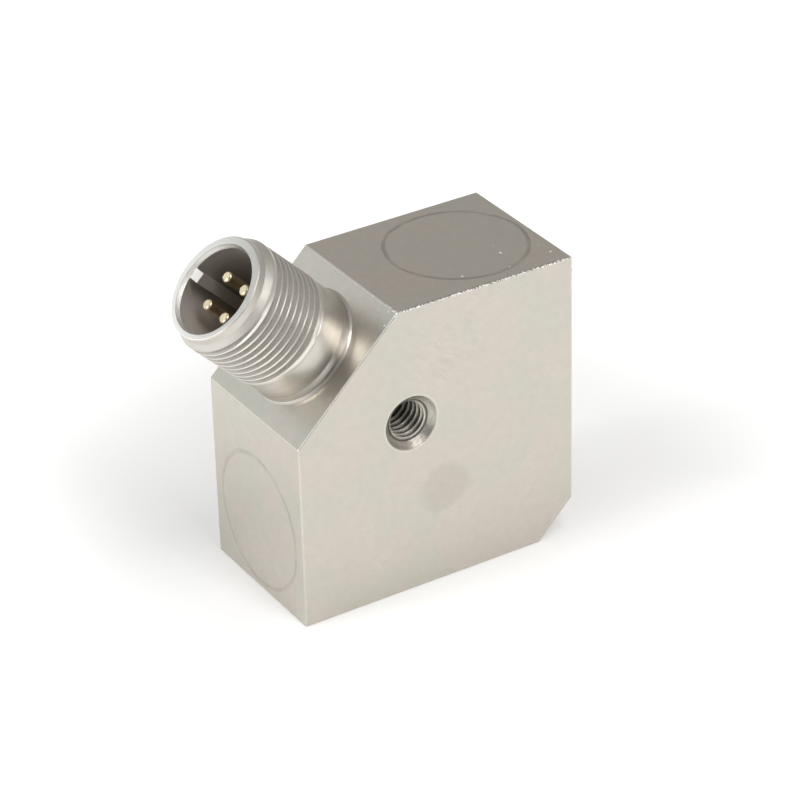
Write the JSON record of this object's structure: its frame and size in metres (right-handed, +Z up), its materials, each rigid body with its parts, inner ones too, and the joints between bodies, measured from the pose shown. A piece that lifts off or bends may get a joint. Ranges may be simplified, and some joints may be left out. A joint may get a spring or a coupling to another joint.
{
  "type": "vibration sensor",
  "caption": "Square stainless steel block vibration sensor with flush round covers, a threaded mounting hole and a threaded, keyed pin connector on its sloping corner.",
  "frame": {"origin": "middle of the flat underside that the block stands on", "axes": "+Z up; -Y out of the mounting face with the threaded hole; +X to the right seen from in front of that face, so that the connector points up and towards -X"},
  "size_m": [0.051, 0.0226, 0.051],
  "materials": {
    "block_steel": "satin, bead blasted and lightly brushed stainless steel",
    "cover_steel": "satin stainless steel, ground flush after welding",
    "shell_steel": "fine turned stainless steel",
    "insert_resin": "dark moulded resin",
    "contact_gold": "gold plated",
    "board_laminate": "green circuit board",
    "chip_moulding": "black chip moulding",
    "alumina": "white ceramic",
    "element_steel": "turned steel",
    "piezo_ceramic": "tan ceramic",
    "heavy_alloy": "machined dense alloy",
    "lead_sleeve": "white sleeve"
  },
  "bodies": {
    "root": {"housing": "block_steel", "top_cover": "cover_steel", "left_cover": "cover_steel", "rear_cover": "cover_steel", "connector_shell": "shell_steel", "contact_insert": "insert_resin", "contact_pin_1": "contact_gold", "contact_pin_2": "contact_gold", "contact_pin_3": "contact_gold", "contact_pin_4": "contact_gold", "amplifier_board": "board_laminate", "amplifier_chips": "chip_moulding", "x_isolation_disc": "alumina", "x_pedestal": "element_steel", "x_piezo_ring": "piezo_ceramic", "x_seismic_mass": "heavy_alloy", "x_signal_lead": "lead_sleeve", "y_isolation_disc": "alumina", "y_pedestal": "element_steel", "y_piezo_ring": "piezo_ceramic", "y_seismic_mass": "heavy_alloy", "y_signal_lead": "lead_sleeve", "z_isolation_disc": "alumina", "z_pedestal": "element_steel", "z_piezo_ring": "piezo_ceramic", "z_seismic_mass": "heavy_alloy", "z_signal_lead": "lead_sleeve"}
  },
  "joints": []
}
